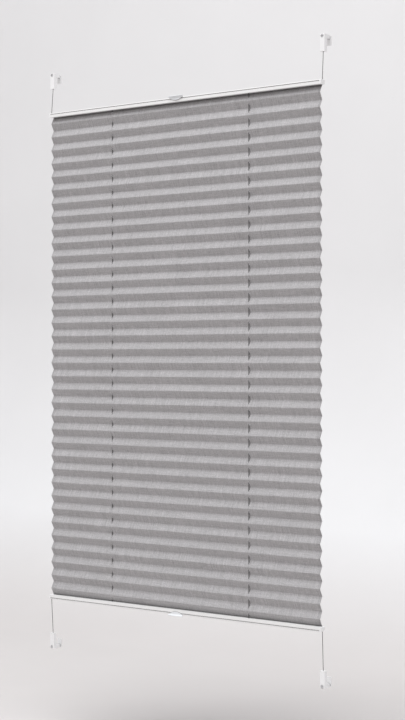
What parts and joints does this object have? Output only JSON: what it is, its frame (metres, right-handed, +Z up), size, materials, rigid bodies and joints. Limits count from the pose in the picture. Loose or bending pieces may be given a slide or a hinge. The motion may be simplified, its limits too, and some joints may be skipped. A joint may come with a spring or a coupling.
{
  "type": "pleated blind",
  "caption": "Pleated fabric blind between two sliding rails, guided by tension cords strung between clamp brackets that hook over a window sash.",
  "frame": {"origin": "middle of the window sash's top edge, on the sash's front face, between the two top clamp brackets", "axes": "+X right as seen from the room, +Y into the window, +Z up"},
  "size_m": [0.8664, 0.0452, 1.535],
  "materials": {
    "pleated_fabric": "fine plain weave, matt, pleated",
    "cord": "braided polyester cord",
    "white_rail": "white powder coat, satin",
    "white_plastic": "white moulded plastic, satin",
    "handle_plastic": "pale white moulded plastic",
    "strip_plastic": "plain moulded plastic, hidden",
    "screw_steel": "zinc-plated steel"
  },
  "bodies": {
    "brackets": {"top_left_bracket": "white_plastic", "top_left_cord_shoe": "strip_plastic", "top_right_bracket": "white_plastic", "top_right_cord_shoe": "strip_plastic", "bottom_left_bracket": "white_plastic", "bottom_left_cord_shoe": "strip_plastic", "bottom_right_bracket": "white_plastic", "bottom_right_cord_shoe": "strip_plastic", "left_cord": "cord", "right_cord": "cord"},
    "top_rail": {"top_rail": "white_rail", "top_retaining_strip": "strip_plastic", "top_handle": "handle_plastic", "top_left_end_cap": "white_plastic", "top_left_cord_guide": "strip_plastic", "top_right_end_cap": "white_plastic", "top_right_cord_guide": "strip_plastic", "pleated_fabric": "pleated_fabric"},
    "bottom_rail": {"bottom_rail": "white_rail", "bottom_retaining_strip": "strip_plastic", "bottom_handle": "handle_plastic", "bottom_left_end_cap": "white_plastic", "bottom_left_cord_guide": "strip_plastic", "bottom_right_end_cap": "white_plastic", "bottom_right_cord_guide": "strip_plastic"},
    "top_left_hook": {"top_left_hook": "white_plastic"},
    "top_left_screw": {"top_left_clamp_screw": "screw_steel"},
    "top_right_hook": {"top_right_hook": "white_plastic"},
    "top_right_screw": {"top_right_clamp_screw": "screw_steel"},
    "bottom_left_hook": {"bottom_left_hook": "white_plastic"},
    "bottom_left_screw": {"bottom_left_clamp_screw": "screw_steel"},
    "bottom_right_hook": {"bottom_right_hook": "white_plastic"},
    "bottom_right_screw": {"bottom_right_clamp_screw": "screw_steel"}
  },
  "joints": [
    {"name": "top_rail_slide", "type": "slide", "parent": "brackets", "child": "top_rail", "axis": [0, 0, 1], "range_m": [-1.23, 0.0652], "deforming": ["pleated_fabric", "left_cord", "right_cord"]},
    {"name": "bottom_rail_slide", "type": "slide", "parent": "brackets", "child": "bottom_rail", "axis": [0, 0, 1], "range_m": [-0.0914, 1.23], "deforming": ["pleated_fabric", "left_cord", "right_cord"]},
    {"name": "top_left_hook_slide", "type": "slide", "parent": "brackets", "child": "top_left_hook", "axis": [0, 1, 0], "range_m": [-0.005, 0.005]},
    {"name": "top_left_screw_turn", "type": "hinge", "parent": "brackets", "child": "top_left_screw", "pos_m": [-0.4267, 0, 0.0045], "axis": [0, 1, 0], "range_deg": [-2571.9, 2571.9]},
    {"name": "top_right_hook_slide", "type": "slide", "parent": "brackets", "child": "top_right_hook", "axis": [0, 1, 0], "range_m": [-0.005, 0.005]},
    {"name": "top_right_screw_turn", "type": "hinge", "parent": "brackets", "child": "top_right_screw", "pos_m": [0.4267, 0, 0.0045], "axis": [0, 1, 0], "range_deg": [-2571.9, 2571.9]},
    {"name": "bottom_left_hook_slide", "type": "slide", "parent": "brackets", "child": "bottom_left_hook", "axis": [0, 1, 0], "range_m": [-0.005, 0.005]},
    {"name": "bottom_left_screw_turn", "type": "hinge", "parent": "brackets", "child": "bottom_left_screw", "pos_m": [-0.4267, 0, -1.5215], "axis": [0, 1, 0], "range_deg": [-2571.9, 2571.9]},
    {"name": "bottom_right_hook_slide", "type": "slide", "parent": "brackets", "child": "bottom_right_hook", "axis": [0, 1, 0], "range_m": [-0.005, 0.005]},
    {"name": "bottom_right_screw_turn", "type": "hinge", "parent": "brackets", "child": "bottom_right_screw", "pos_m": [0.4267, 0, -1.5215], "axis": [0, 1, 0], "range_deg": [-2571.9, 2571.9]}
  ],
  "couplings": [
    {"joint": "top_left_screw_turn", "follows": "top_left_hook_slide", "rad_per_m": -8976},
    {"joint": "top_right_screw_turn", "follows": "top_right_hook_slide", "rad_per_m": -8976},
    {"joint": "bottom_left_screw_turn", "follows": "bottom_left_hook_slide", "rad_per_m": -8976},
    {"joint": "bottom_right_screw_turn", "follows": "bottom_right_hook_slide", "rad_per_m": -8976}
  ]
}
